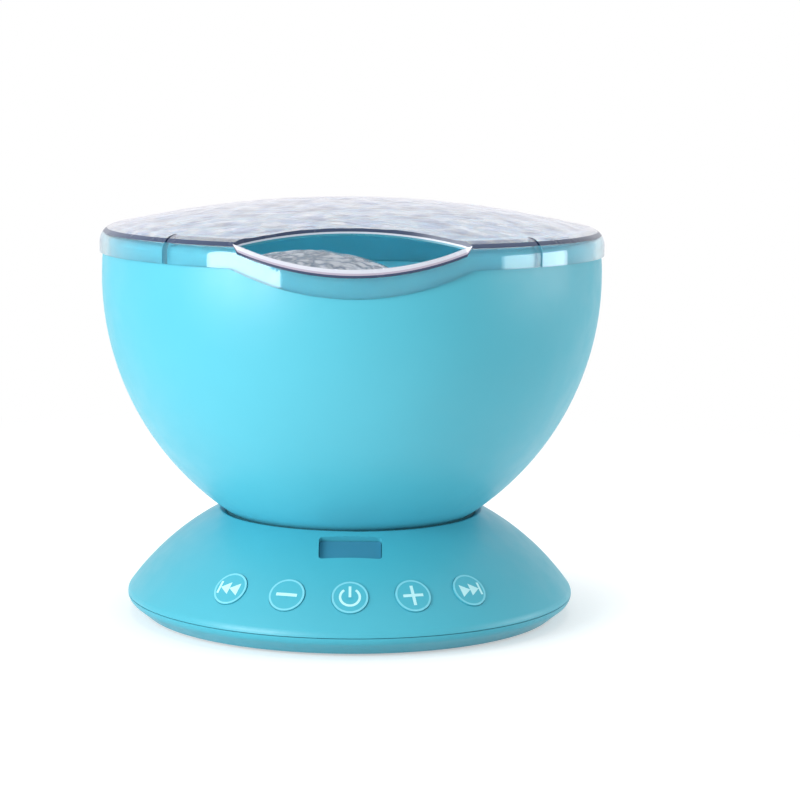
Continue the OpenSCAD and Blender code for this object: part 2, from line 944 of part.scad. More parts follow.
module capacitors() {
    color("#39465c")
        for (p = capacitor_at)
            translate([p[0], p[1], board_top + fit])
                rotate_extrude()
                    polygon([[0, 0], [capacitor_r, 0], [capacitor_r, capacitor_groove[0]],
                             [capacitor_r - slack, capacitor_groove[1]], [capacitor_r, capacitor_groove[2]],
                             [capacitor_r, capacitor_h - capacitor_bevel],
                             [capacitor_r - capacitor_bevel, capacitor_h], [0, capacitor_h]]);
}

module usb_socket() {
    color(steel)
        translate([usb_x - usb_w / 2, bay_wall_y - usb_l - fit, board_top + fit])
            difference() {
                cube([usb_w, usb_l, usb_h]);
                translate([usb_t, usb_back, usb_t])
                    cube([usb_w - 2 * usb_t, usb_l, usb_h - 2 * usb_t - usb_tongue_t - usb_over]);
                translate([usb_t, usb_back, usb_h - usb_t - usb_over])
                    cube([usb_w - 2 * usb_t, usb_l, usb_over]);
                translate([usb_t, usb_l - usb_front, usb_t])
                    cube([usb_w - 2 * usb_t, usb_l, usb_h - 2 * usb_t]);
            }
}

module audio_jack() {
    front = bay_wall_y - fit;
    body_front = bay_wall_y - wall - fit;
    color(black_plastic)
        difference() {
            union() {
                translate([jack_x - jack_w / 2, body_front - jack_l, board_top + fit])
                    cube([jack_w, jack_l, jack_h]);
                translate([jack_x, front, jack_z])
                    rotate([90, 0, 0])
                        cylinder(r = jack_neck_r, h = front - body_front + overlap);
            }
            translate([jack_x, front + overlap, jack_z])
                rotate([90, 0, 0])
                    cylinder(r = jack_bore_r, h = jack_bore_l + overlap);
        }
}

// Keys and what carries their switches
module key_bracket() {
    high = key_point(pad_top + fit, bracket_half);
    low = key_point(pad_top + fit, -bracket_half);
    back = key_point(pad_top + fit + bracket_t, bracket_half);
    leg_out = min(low[0], bevel_inner_r(floor_z) - loose);
    leg_in = leg_out - bracket_leg;
    leg_up = (key_at[0] - (pad_top + fit + bracket_t) * key_n[0] - leg_in) / -key_t[0];
    color(white_plastic)
        for (i = [-2 : 2])
            rotate([0, 0, i * key_step - 90])
                rotate([90, 0, 0])
                    translate([0, 0, -bracket_w / 2])
                        linear_extrude(bracket_w)
                            polygon([high, low, [leg_out, floor_z + fit], [leg_in, floor_z + fit],
                                     key_point(pad_top + fit + bracket_t, leg_up), back]);
}

module key_boards() {
    color(board_green)
        for (i = [-2 : 2])
            on_side(i * key_step, key_at, key_angle)
                translate([-key_board_w / 2, -bracket_half, -pad_top])
                    cube([key_board_w, 2 * bracket_half, key_board_t]);
}

module key_switches() {
    color(black_plastic)
        for (i = [-2 : 2])
            on_side(i * key_step, key_at, key_angle) {
                translate([-switch_w / 2, -switch_w / 2, -key_board_top + fit])
                    cube([switch_w, switch_w, switch_h - fit]);
                sunk(plunger_r, plunger_top, plunger_top + plunger_h + fit);
            }
}

module key(index) {
    color(aqua_light)
        on_side(index * key_step, key_at, key_angle) {
            rotate_extrude()
                right_half()
                    intersection() {
                        translate([0, key_proud - key_crown_r])
                            circle(r = key_crown_r, $fn = 720);
                        translate([0, -flange_top - flange_t])
                            square([key_r, flange_top + flange_t + far]);
                    }
            sunk(flange_r, flange_top, flange_top + flange_t);
            sunk(stem_r, flange_top + flange_t / 2, stem_end);
        }
}

module key_previous() {
    key(-2);
}

module key_volume_down() {
    key(-1);
}

module key_power() {
    key(0);
}

module key_volume_up() {
    key(1);
}

module key_next() {
    key(2);
}

// Infrared window, receiver and its board
module ir_window() {
    color("#3f8aa9")
        on_side(0, window_at, window_angle) {
            translate([0, 0, -window_seat - window_rim_t / 2])
                round_plate(window_w - 2 * slack, window_l - 2 * slack,
                            window_seat + window_rim_t / 2 - window_sink, window_corner - slack);
            translate([0, 0, -window_seat - window_rim_t])
                round_plate(window_w + 2 * window_rim, window_l - 2 * slack,
                            window_rim_t - fit, window_corner);
        }
}

module ir_board() {
    half = ir_post_x + ir_post_r + ir_board_end;
    color(board_green)
        on_side(0, window_at, window_angle)
            translate([-half, -ir_board_l / 2, -ir_board_top - fit - ir_board_t])
                cube([2 * half, ir_board_l, ir_board_t]);
}

module ir_receiver() {
    color(black_plastic)
        on_side(0, window_at, window_angle) {
            translate([-ir_w / 2, -ir_w / 2, -ir_board_top])
                cube([ir_w, ir_w, ir_body_h]);
            translate([0, 0, -ir_board_top + ir_h - ir_lens_r])
                sphere(r = ir_lens_r);
        }
}

// Bowl
module bowl_side(inset) {
    right_half()
        difference() {
            translate(bowl_centre)
                circle(r = bowl_arc_r - inset);
            difference() {
                square([far, cap_top]);
                translate(pivot)
                    circle(r = cap_r - inset);
            }
            translate([0, rim_z])
                square([far, far]);
        }
}

// All that lies above the seam between bowl and cover, with the dip at the front
module above_seam(z) {
    translate([-far, -far, z])
        cube([2 * far, 2 * far, far]);
    translate([0, 0, z - notch_dip + dip_r])
        rotate([90, 0, 0])
            cylinder(r = dip_r, h = far);
}

// The notch at the front, lowered by a drop
module notch(drop) {
    intersection() {
        translate([0, -notch_back - notch_r, 0])
            cylinder(r = notch_r, h = far);
        translate([0, 0, lip_low - drop + lip_r])
            rotate([90, 0, 0])
                cylinder(r = lip_r, h = far);
    }
}

module bowl_shell() {
    color(aqua_light)
        difference() {
            union() {
                difference() {
                    rotate_extrude() {
                        difference() {
                            bowl_side(0);
                            bowl_side(wall);
                        }
                        translate([collar_in, collar_low])
                            square([bowl_inner_r(rim_z) + wall / 2 - collar_in, rim_z - collar_low]);
                    }
                    above_seam(rim_z - seam_gap);
                }
                rotate_extrude()
                    intersection() {
                        translate([collar_in, collar_low])
                            square([collar_t, far]);
                        cover_form(cover_wall + collar_gap);
                    }
                intersection() {
                    rotate_extrude()
                        bowl_side(wall / 2);
                    around(deck_post_angles, deck_post_at)
                        translate([0, 0, deck_z - deck_post_h])
                            cylinder(r = deck_post_r, h = deck_post_h);
                }
            }
            notch(collar_drop);
            around(deck_post_angles, deck_post_at)
                translate([0, 0, deck_z - screw_grip - 2 * overlap])
                    cylinder(r = screw_r + fit, h = screw_grip + 3 * overlap);
            at_pivot()
                tilt_wedge(bolt_lean - tilt_max, bolt_lean, slot_half);
            for (a = [bolt_lean - tilt_max, bolt_lean])
                at_pivot()
                    rotate([a, 0, 0])
                        sunk(slot_half, cap_r - wall - through, cap_r + through);
        }
}

// Section of the cover's outer form, drawn in by an inset
module cover_form(inset) {
    reach_r = (cover_r - cover_edge_r) * crown_r / (crown_r - cover_edge_r);
    right_half() {
        intersection() {
            translate([0, crown_centre])
                circle(r = crown_r - inset, $fn = 720);
            translate([0, rim_z - skirt_run])
                square([reach_r, far]);
        }
        translate([0, rim_z - skirt_run])
            square([cover_r - inset, edge_centre[1] - rim_z + skirt_run]);
        translate(edge_centre)
            circle(r = cover_edge_r - inset);
    }
}

module lens_cover() {
    color(clear_grey)
        difference() {
            intersection() {
                rotate_extrude()
                    difference() {
                        cover_form(0);
                        cover_form(cover_wall);
                    }
                above_seam(rim_z);
            }
            notch(0);
            around(slit_angles, cover_r - slit_in)
                translate([-slit_w / 2, -far, rim_z - overlap])
                    cube([slit_w, far, far]);
        }
}

// Deck, reflector and lamps
module at_rotor() {
    translate([rotor_x, 0, 0])
        children();
}

module at_motor() {
    translate([motor_x, 0, 0])
        children();
}

module lamp_deck() {
    color(aqua)
        difference() {
            union() {
                translate([0, 0, deck_z + fit])
                    cylinder(r = deck_r, h = deck_t - fit);
                around(deck_post_angles, deck_post_at)
                    translate([0, 0, deck_z + overlap])
                        cylinder(r = deck_post_r, h = lid_z - fit - deck_z - overlap);
                at_rotor()
                    translate([0, 0, deck_z + overlap])
                        cylinder(r = hub_r, h = gear_top - slack - deck_z - overlap);
            }
            at_rotor()
                cylinder(r = hub_in, h = far);
            at_motor()
                cylinder(r = motor_boss_r + loose, h = far);
            around(deck_post_angles, deck_post_at)
                cylinder(r = screw_r + slack, h = far);
            at_motor()
                for (y = [-motor_ear_at, motor_ear_at])
                    translate([0, y, 0])
                        cylinder(r = lamp_screw_r + slack, h = far);
            at_rotor()
                around(reflector_ear_angles, reflector_ear_at)
                    translate([0, 0, deck_z - overlap])
                        cylinder(r = lamp_screw_r + fit, h = 1 + lamp_screw_bite);
        }
}

module deck_cover() {
    color(aqua)
        difference() {
            translate([0, 0, lid_z])
                cylinder(r = deck_r, h = lid_t);
            at_rotor()
                cylinder(r = lens_hole_r, h = far);
            around(deck_post_angles, deck_post_at)
                cylinder(r = screw_r + slack, h = far);
        }
}

module deck_screws() {
    color(steel)
        around(deck_post_angles, deck_post_at)
            translate([0, 0, lid_z + lid_t + fit])
                cross_screw(screw_r, lid_z + lid_t - deck_z + screw_grip, screw_head_r, screw_head_h);
}

module reflector() {
    top = deck_z;
    color(white_plastic)
        at_rotor()
            difference() {
                union() {
                    rotate_extrude()
                        polygon([[reflector_low_r, reflector_low], [reflector_foot_r, reflector_low],
                                 [reflector_foot_r, reflector_low + reflector_foot_t],
                                 [reflector_low_r + reflector_wall, reflector_low + reflector_foot_t],
                                 [reflector_top_r + reflector_t, top - reflector_rim_t],
                                 [reflector_top_r + reflector_rim_w, top - reflector_rim_t],
                                 [reflector_top_r + reflector_rim_w, top], [reflector_top_r, top]]);
                    around(reflector_ear_angles, reflector_ear_at)
                        translate([0, 0, top - reflector_rim_t])
                            cylinder(r = reflector_ear_r, h = reflector_rim_t);
                }
                translate([0, 0, top - reflector_rim_t])
                    cylinder(r = reflector_top_r, h = reflector_rim_t + overlap);
                around(reflector_ear_angles, reflector_ear_at)
                    translate([0, 0, top - reflector_rim_t - overlap])
                        cylinder(r = lamp_screw_r + slack, h = reflector_rim_t + 2 * overlap);
                around(lamp_screw_angles, lamp_screw_at)
                    translate([0, 0, reflector_low - overlap])
                        cylinder(r = lamp_screw_r + fit, h = reflector_foot_t);
            }
}

module led_board() {
    color(board_green)
        at_rotor()
            translate([0, 0, reflector_low - led_board_t - fit])
                difference() {
                    cylinder(r = reflector_foot_r, h = led_board_t);
                    around(lamp_screw_angles, lamp_screw_at)
                        translate([0, 0, -overlap])
                            cylinder(r = lamp_screw_r + slack, h = led_board_t + 2 * overlap);
                }
}

module leds() {
    color("#f2f4f8")
        at_rotor()
            translate([0, 0, reflector_low])
                for (i = [0, 1])
                    around([for (k = [0 : led_counts[i] - 1]) k * 360 / led_counts[i]], led_ring_r[i])
                        rotate_extrude()
                            right_half() {
                                square([led_r + led_foot, led_foot_h]);
                                square([led_r, led_h]);
                                intersection() {
                                    translate([0, led_h])
                                        circle(r = led_r);
                                    square([far, far]);
                                }
                            }
}

module lamp_screws() {
    color(steel)
        at_rotor() {
            around(reflector_ear_angles, reflector_ear_at)
                translate([0, 0, deck_z - reflector_rim_t - fit])
                    mirror([0, 0, 1])
                        cross_screw(lamp_screw_r, lamp_screw_l, lamp_screw_head_r, lamp_screw_head_h);
            around(lamp_screw_angles, lamp_screw_at)
                translate([0, 0, reflector_low - led_board_t - 2 * fit])
                    mirror([0, 0, 1])
                        cross_screw(lamp_screw_r, lamp_screw_l, lamp_screw_head_r, lamp_screw_head_h);
        }
}

// Wave drive
module motor_case() {
    color(steel)
        at_motor()
            difference() {
                union() {
                    translate([0, 0, deck_z - motor_h])
                        rotate_extrude()
                            polygon([[0, 0], [motor_r - motor_edge, 0], [motor_r, motor_edge],
                                     [motor_r, motor_h], [0, motor_h]]);
                    translate([-motor_ear_r, -motor_ear_at, deck_z - motor_flange_t])
                        cube([2 * motor_ear_r, 2 * motor_ear_at, motor_flange_t]);
                    for (y = [-motor_ear_at, motor_ear_at])
                        translate([0, y, deck_z - motor_flange_t])
                            cylinder(r = motor_ear_r, h = motor_flange_t);
                    translate([0, 0, deck_z - overlap])
                        cylinder(r = motor_boss_r, h = motor_boss_h + overlap);
                }
                translate([0, 0, gear_top - shaft_l - slack])
                    cylinder(r = shaft_r + fit, h = far);
                for (y = [-motor_ear_at, motor_ear_at])
                    translate([0, y, deck_z - motor_screw_room])
                        cylinder(r = lamp_screw_r + fit, h = 2 * motor_screw_room);
            }
}

module motor_screws() {
    color(steel)
        at_motor()
            for (y = [-motor_ear_at, motor_ear_at])
                translate([0, y, deck_top + fit])
                    cross_screw(lamp_screw_r, deck_t + motor_screw_end,
                                lamp_screw_head_r, lamp_screw_head_h);
}

module ripple_lens() {
    color(clear_grey)
        at_rotor()
            rotate_extrude()
                right_half() {
                    intersection() {
                        difference() {
                            translate([0, lens_top - lens_crown_r])
                                circle(r = lens_crown_r);
                            translate([0, lens_top - lens_crown_r])
                                circle(r = lens_crown_r - lens_t);
                        }
                        translate([0, gear_top + fit])
                            square([lens_r, far]);
                    }
                    intersection() {
                        translate([lens_r - lens_t, gear_top + fit])
                            square([lens_t, far]);
                        translate([0, lens_top - lens_crown_r])
                            circle(r = lens_crown_r);
                    }
                }
}

module ring_gear() {
    color(white_plastic)
        at_rotor()
            translate([0, 0, gear_z])
                difference() {
                    linear_extrude(gear_w)
                        gear_outline(ring_teeth);
                    translate([0, 0, -overlap])
                        cylinder(r = hub_r + fit, h = gear_w + 2 * overlap);
                }
}

module drive_pinion() {
    color(white_plastic)
        at_motor()
            translate([0, 0, gear_z])
                difference() {
                    rotate([0, 0, 180 / pinion_teeth])
                        linear_extrude(gear_w)
                            gear_outline(pinion_teeth);
                    translate([0, 0, -overlap])
                        cylinder(r = shaft_r + fit, h = gear_w + 2 * overlap);
                }
}

module motor_shaft() {
    color(steel)
        at_motor()
            translate([0, 0, gear_top - shaft_l])
                cylinder(r = shaft_r, h = shaft_l);
}

base_shell();
base_plate();
rubber_feet();
base_screws();
seat_ring();
tilt_bolt();
slide_plate();
clamp_pad();
spring_washers();
tilt_nut();
speaker_frame();
speaker_cone();
speaker_magnet();
main_board();
board_screws();
control_chip();
capacitors();
usb_socket();
audio_jack();
key_bracket();
key_boards();
key_switches();
ir_window();
ir_board();
ir_receiver();
key_previous();
key_volume_down();
key_power();
key_volume_up();
key_next();
bowl_shell();
lens_cover();
lamp_deck();
deck_cover();
deck_screws();
reflector();
led_board();
leds();
lamp_screws();
motor_case();
motor_screws();
ripple_lens();
ring_gear();
drive_pinion();
motor_shaft();
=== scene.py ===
"""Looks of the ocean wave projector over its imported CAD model.

Sizes are in millimetres until a mesh is made. Materials and the stage are in metres.
"""

import json
import math

import bmesh
import bpy
from mathutils import Matrix, Vector, noise


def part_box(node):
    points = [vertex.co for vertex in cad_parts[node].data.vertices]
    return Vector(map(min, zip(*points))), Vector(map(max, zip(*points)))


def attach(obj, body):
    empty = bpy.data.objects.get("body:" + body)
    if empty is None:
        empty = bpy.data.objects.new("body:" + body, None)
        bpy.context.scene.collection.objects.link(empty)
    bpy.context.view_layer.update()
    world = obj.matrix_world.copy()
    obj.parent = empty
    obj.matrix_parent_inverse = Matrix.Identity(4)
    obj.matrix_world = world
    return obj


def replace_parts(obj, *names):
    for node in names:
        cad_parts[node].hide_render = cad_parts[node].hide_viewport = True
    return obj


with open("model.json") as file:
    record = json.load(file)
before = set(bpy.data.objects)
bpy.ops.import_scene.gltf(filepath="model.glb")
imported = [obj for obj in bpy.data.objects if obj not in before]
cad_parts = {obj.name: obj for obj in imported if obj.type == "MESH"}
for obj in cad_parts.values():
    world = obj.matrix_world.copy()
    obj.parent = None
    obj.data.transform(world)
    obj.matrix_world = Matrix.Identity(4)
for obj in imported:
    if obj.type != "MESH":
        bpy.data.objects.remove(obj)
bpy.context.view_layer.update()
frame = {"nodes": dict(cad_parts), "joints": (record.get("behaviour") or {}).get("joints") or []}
cad = frame["nodes"]
scene = bpy.context.scene

MM = 0.001


def box_mm(node):
    """Lowest and highest corner of a CAD node, in millimetres."""
    return [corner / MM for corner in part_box(node)]


def circle_through(half, rise):
    """Radius of the circle whose chord is twice half wide and lies rise below its top."""
    return (half * half + rise * rise) / (2 * rise)


# Sizes of the CAD model that the new pieces follow, from the frame where it gives them
cover_high = box_mm("lens_cover")[1]
lens_low, lens_high = box_mm("ripple_lens")
RIM_Z = 108.8
COVER_R = cover_high.x
COVER_WALL = 2.2
EDGE_R = 5.0
CROWN_R = 306.0
CROWN_Z = cover_high.z
CROWN_CENTRE = CROWN_Z - CROWN_R
EDGE_Z = CROWN_CENTRE + math.sqrt((CROWN_R - EDGE_R) ** 2 - (COVER_R - EDGE_R) ** 2)
NOTCH_HALF = 31.0
NOTCH_BACK = 57.0
NOTCH_END = 3.0
NOTCH_RISE = 3.0
NOTCH_DIP = 7.4
DIP_MARGIN = 2.5
LIP_H = 7.8
SLIT_ANGLES = (-44.3, 44.3, 135.7, -135.7)
SLIT_W = 0.8
SLIT_IN = 5.2
LENS_X = (lens_low.x + lens_high.x) / 2
LENS_R = (lens_high.x - lens_low.x) / 2
LENS_TOP = lens_high.z
LENS_LOW = lens_low.z
LENS_CROWN_R = 60.0
LENS_T = 2.0
KEY_CROWN_R = 79.76

# Circles of the notch: the dip of the seam below it, its lip and its back
DIP_HALF = NOTCH_HALF + DIP_MARGIN
DIP_R = circle_through(DIP_HALF, NOTCH_DIP)
LIP_LOW = RIM_Z - NOTCH_DIP + LIP_H
LIP_R = circle_through(NOTCH_HALF, EDGE_Z + NOTCH_RISE - LIP_LOW)
NOTCH_FRONT = math.sqrt((COVER_R - NOTCH_END) ** 2 - NOTCH_HALF ** 2)
NOTCH_R = circle_through(NOTCH_HALF, NOTCH_FRONT - NOTCH_BACK)

# The dark line round the edge of the cover, painted shade, in degrees up its rounding
LINE_LOW = 36.0
LINE_HIGH = 54.0
# Heights of the painted dark shade line and the painted highlight line along the back of the notch
LINE_T = 1.25
LIGHT_T = 0.5
# Rounding of the lip, as pairs of a depth below its top and a distance in from its face. Its bands are
# painted: a highlight on top, shade under it, and the dark shade line lowest
LIP_TOP = (0.0, 0.95)
LIP_WHITE = (0.95, 0.55)
LIP_LILAC = (1.5, 0.32)
LIP_DARK = (2.2, 0.0)
# Depth of the lip that has room for the whole rounding
LIP_ROOM = 2.0


# Materials


def add_node(tree, kind, links=None, **values):
    """A new node with its properties set. A socket in links gets another socket or a value."""
    n = tree.nodes.new(kind)
    for key, value in values.items():
        setattr(n, key, value)
    for socket, source in (links or {}).items():
        if isinstance(source, bpy.types.NodeSocket):
            tree.links.new(source, n.inputs[socket])
        else:
            n.inputs[socket].default_value = source
    return n


class Shader:
    """A material with a Principled BSDF and short ways to add nodes to it."""

    def __init__(self, name, **sockets):
        self.material = bpy.data.materials.new(name)
        self.material.use_nodes = True
        self.tree = self.material.node_tree
        self.bsdf = self.tree.nodes["Principled BSDF"]
        for socket, value in sockets.items():
            self.set(socket.replace("_", " "), value)
        self.coords = self.node("ShaderNodeTexCoord").outputs["Object"]

    def set(self, socket, value):
        if isinstance(value, bpy.types.NodeSocket):
            self.tree.links.new(value, self.bsdf.inputs[socket])
        elif isinstance(value, tuple):
            self.bsdf.inputs[socket].default_value = (*value, 1.0)
        else:
            self.bsdf.inputs[socket].default_value = value

    def node(self, kind, links=None, **values):
        return add_node(self.tree, kind, links, **values)

    def noise(self, scale, detail=3.0, roughness=0.5, stretch=None):
        where = self.coords
        if stretch:
            where = self.node("ShaderNodeMapping", {"Vector": where, "Scale": stretch}).outputs[0]
        links = {"Vector": where, "Scale": scale, "Detail": detail, "Roughness": roughness}
        return self.node("ShaderNodeTexNoise", links).outputs["Fac"]

    def ramp(self, fac, *stops):
        """Colour that runs through stops, each a place from 0 to 1 and a colour."""
        n = self.node("ShaderNodeValToRGB", {"Fac": fac})
        while len(n.color_ramp.elements) < len(stops):
            n.color_ramp.elements.new(0.5)
        for element, (place, colour) in zip(n.color_ramp.elements, stops):
            element.position = place
            element.color = (*colour, 1.0)
        return n.outputs["Color"]

    def span(self, fac, low, high, to_low, to_high):
        """fac, with the range from low to high moved to the range from to_low to to_high."""
        links = {"Value": fac, "From Min": low, "From Max": high, "To Min": to_low, "To Max": to_high}
        return self.node("ShaderNodeMapRange", links).outputs["Result"]

    def bump(self, height, strength, distance, under=None):
        links = {"Height": height, "Strength": strength, "Distance": distance}
        if under:
            links["Normal"] = under
        return self.node("ShaderNodeBump", links).outputs["Normal"]


def shade(colour, factor):
    return tuple(min(1.0, c * factor) for c in colour)


def moulded(name, colour, rough, spread=0.05, tint=0.025, grain=0.1):
    """Moulded plastic: a faint flow in the colour, a satin that varies, and a fine spark-eroded grain."""
    s = Shader(name)
    flow = s.noise(scale=22.0, detail=4.0, roughness=0.55)
    s.set("Base Color", s.ramp(flow, (0.3, shade(colour, 1 - tint)), (0.7, shade(colour, 1 + tint))))
    satin = s.noise(scale=160.0)
    s.set("Roughness", s.span(satin, 0.3, 0.7, to_low=rough - spread, to_high=rough + spread))
    wave = s.bump(s.noise(scale=90.0, detail=2.0), strength=0.05, distance=0.0004)
    sparks = s.noise(scale=4200.0, detail=2.0)
    s.set("Normal", s.bump(sparks, strength=grain, distance=0.00003, under=wave))
    return s.material


def steel(name, colour, rough):
    """Plated steel with fine drawn lines."""
    s = Shader(name, Metallic=1.0)
    lines = s.noise(scale=900.0, detail=4.0, roughness=0.6, stretch=(1.0, 1.0, 14.0))
    s.set("Base Color", s.ramp(lines, (0.3, shade(colour, 0.8)), (0.75, colour)))
    s.set("Roughness", s.span(lines, 0.2, 0.8, to_low=rough - 0.08, to_high=rough + 0.1))
    s.set("Normal", s.bump(lines, strength=0.12, distance=0.00005))
    return s.material


def rubber(name, colour):
    """Dull rubber with a little dust on it."""
    s = Shader(name, Specular_IOR_Level=0.3)
    dust = s.noise(scale=500.0, detail=4.0, roughness=0.6)
    s.set("Base Color", s.ramp(dust, (0.35, colour), (0.8, shade(colour, 1.7))))
    s.set("Roughness", s.span(dust, 0.2, 0.8, to_low=0.62, to_high=0.85))
    s.set("Normal", s.bump(s.noise(scale=2600.0), strength=0.25, distance=0.00005))
    return s.material


def board(name):
    """Green circuit board with a web of tracks under its lacquer."""
    s = Shader(name, Coat_Weight=0.4, Coat_Roughness=0.15, Roughness=0.42)
    links = {"Vector": s.coords, "Scale": 260.0}
    cells = s.node("ShaderNodeTexVoronoi", links, distance="CHEBYCHEV", feature="DISTANCE_TO_EDGE")
    tracks = s.span(cells.outputs["Distance"], 0.04, 0.07, to_low=1.0, to_high=0.0)
    s.set("Base Color", s.ramp(tracks, (0.0, (0.012, 0.115, 0.05)), (1.0, (0.03, 0.21, 0.095))))
    s.set("Normal", s.bump(tracks, strength=0.3, distance=0.00004))
    return s.material


def paper(name):
    """Black paper with fibres."""
    s = Shader(name, Specular_IOR_Level=0.2, Roughness=0.9)
    fibres = s.noise(scale=1500.0, detail=6.0, roughness=0.7, stretch=(1.0, 3.0, 1.0))
    s.set("Base Color", s.ramp(fibres, (0.3, (0.018, 0.018, 0.02)), (0.75, (0.06, 0.06, 0.064))))
    s.set("Normal", s.bump(fibres, strength=0.5, distance=0.00012))
    return s.material


def lamp_resin(name):
    """Milky resin of a lamp."""
    s = Shader(name, Transmission_Weight=0.55, IOR=1.5, Roughness=0.12)
    glow = s.noise(scale=420.0, detail=2.0)
    s.set("Base Color", s.ramp(glow, (0.3, (0.86, 0.88, 0.9)), (0.7, (0.95, 0.95, 0.86))))
    s.set("Normal", s.bump(s.noise(scale=1500.0), strength=0.05, distance=0.00003))
    return s.material


def clear(name, lines, field, rough, cell, clarity=1.0, sheen=0.0, sheen_tint=(1.0, 1.0, 1.0)):
    """Clear plastic with a web of lines like light on water, painted into its colour as the highlights and
    shade of its ripples, and a sheen at a slant whose tint paints the colour of its reflections at its
    edges.
    """
    s = Shader(name, Transmission_Weight=clarity, IOR=1.49, Sheen_Weight=sheen, Sheen_Tint=sheen_tint)
    # Painted highlights and shade of the ripples: the web's lines and field carry them into the colour
    web = s.noise(scale=cell, detail=2.0, roughness=0.45)
    s.set("Base Color", s.ramp(web, (0.36, field), (0.49, lines), (0.51, lines), (0.64, field)))
    haze = s.noise(scale=cell * 2)
    s.set("Roughness", s.span(haze, 0.3, 0.7, to_low=rough * 0.7, to_high=rough * 1.3))
    s.set("Normal", s.bump(s.noise(scale=900.0, detail=2.0), strength=0.03, distance=0.00005))
    return s.material


WHITE = (1.0, 1.0, 1.0)

look = {
    "bowl_blue": moulded("bowl_plastic", (0.095, 0.54, 0.685), rough=0.4),
    # Painted shade: the base and its keys are the bowl's plastic darkened, a shaded copy of its colour
    "base_blue": moulded("base_plastic_shaded", (0.06, 0.425, 0.545), rough=0.4),
    "key_blue": moulded("key_plastic_shaded", (0.064, 0.44, 0.56), rough=0.36),
    "window_blue": moulded("window_plastic", (0.045, 0.235, 0.36), rough=0.22, spread=0.04, tint=0.06,
                           grain=0.04),
    "rubber": rubber("foot_rubber", (0.022, 0.023, 0.025)),
    # The seat ring is rubber, tinted dark teal as painted shade of the gap between bowl and base
    "seat": rubber("seat_rubber_gap_shade", (0.012, 0.1, 0.13)),
    "steel": steel("plated_steel", (0.62, 0.63, 0.65), rough=0.3),
    "black_plastic": moulded("black_moulding", (0.022, 0.023, 0.026), rough=0.48, spread=0.08, tint=0.12,
                             grain=0.2),
    "white_plastic": moulded("white_moulding", (0.82, 0.83, 0.83), rough=0.42, spread=0.06, tint=0.02,
                             grain=0.12),
    "board": board("circuit_board"),
    "paper": paper("cone_paper"),
    "led": lamp_resin("led_resin"),
}

# Materials of the cover, in the order of their numbers
TOP, SKIRT, LINE, LIP, SLIT, UNDER, THROAT, LILAC = range(8)
cover_looks = [
    # The lavender sheen paints the colour of the far edge's reflections
    clear("cover_top", lines=WHITE, field=(0.6, 0.66, 0.85), rough=0.1, cell=130.0,
          clarity=0.77, sheen=0.2, sheen_tint=(0.62, 0.56, 0.8)),
    # The dark sheen paints shade on the skirt's ends, where it is seen at a slant
    clear("cover_skirt", lines=(0.66, 0.93, 0.98), field=(0.6, 0.9, 0.96), rough=0.05, cell=120.0,
          sheen=1.0, sheen_tint=(0.1, 0.16, 0.26)),
    # Dark line painted as shade: round the cover's edge, at the back of the notch, above the slits and
    # below the lip
    moulded("cover_shade_line", (0.03, 0.05, 0.11), rough=0.25, tint=0.2, grain=0.03),
    # Painted highlight on the top of the lip and on the light line at the back of the notch
    moulded("cover_lip_highlight", (0.62, 0.64, 0.72), rough=0.25, tint=0.05, grain=0.05),
    moulded("cover_slit", (0.24, 0.66, 0.8), rough=0.3, tint=0.1, grain=0.03),
    clear("cover_under", lines=WHITE, field=(0.97, 0.98, 1.0), rough=0.05, cell=120.0),
    # Dark teal painted on the back of the notch as the shade of the inside seen through it
    moulded("cover_throat_shade", (0.035, 0.26, 0.35), rough=0.3, tint=0.05, grain=0.03),
    # Painted shade on the lower rounding of the lip
    moulded("cover_lip_shade", (0.42, 0.38, 0.48), rough=0.25, tint=0.05, grain=0.05),
]

# The lens's dark lines are painted shade of its ripples, on a white field
lens_look = clear("lens_clear", lines=(0.3, 0.35, 0.42), field=(0.98, 0.98, 1.0), rough=0.1, cell=225.0,
                  clarity=0.3)

# Materials of a key's print and of the highlight ring painted at its edge, in the order of their numbers
SIGN, RIM = range(2)
print_and_highlight_looks = [
    moulded("key_print", (0.5, 0.86, 0.9), rough=0.45, tint=0.03, grain=0.08),
    moulded("key_edge_highlight", (0.2, 0.64, 0.76), rough=0.45, tint=0.03, grain=0.08),
]


# Meshes


def mesh_object(name, bm, materials):
    """A new object from a bmesh in millimetres."""
    bmesh.ops.scale(bm, vec=(MM, MM, MM), verts=bm.verts)
    mesh = bpy.data.meshes.new(name)
    bm.to_mesh(mesh)
    bm.free()
    for material in materials:
        mesh.materials.append(material)
    obj = bpy.data.objects.new(name, mesh)
    scene.collection.objects.link(obj)
    return obj


def solid(name, bm, materials, body):
    """A new piece of the object, which moves with a body."""
    obj = mesh_object(name, bm, materials)
    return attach(obj, body)


def smooth(obj, degrees):
    obj.data.polygons.foreach_set("use_smooth", [True] * len(obj.data.polygons))
    obj.data.set_sharp_from_angle(angle=math.radians(degrees))


def lathe(rings, poles, segments):
    """Closed solid of revolution.

    A ring is a function that gives its radius and height at an azimuth, with the material of the band
    before it. A pole closes each end.
    """
    bm = bmesh.new()
    rows = []
    for place, _ in rings:
        row = []
        for k in range(segments):
            a = 2 * math.pi * k / segments
            r, z = place(a)
            row.append(bm.verts.new((r * math.sin(a), -r * math.cos(a), z)))
        rows.append(row)
    for low, high, (_, material) in zip(rows, rows[1:], rings[1:]):
        for k in range(segments):
            n = (k + 1) % segments
            bm.faces.new((low[k], low[n], high[n], high[k])).material_index = material
    for row, height, (_, material) in zip((rows[0], rows[-1]), poles, (rings[0], rings[-1])):
        tip = bm.verts.new((0, 0, height))
        for k in range(segments):
            bm.faces.new((row[k], row[(k + 1) % segments], tip)).material_index = material
    bmesh.ops.recalc_face_normals(bm, faces=bm.faces)
    return bm


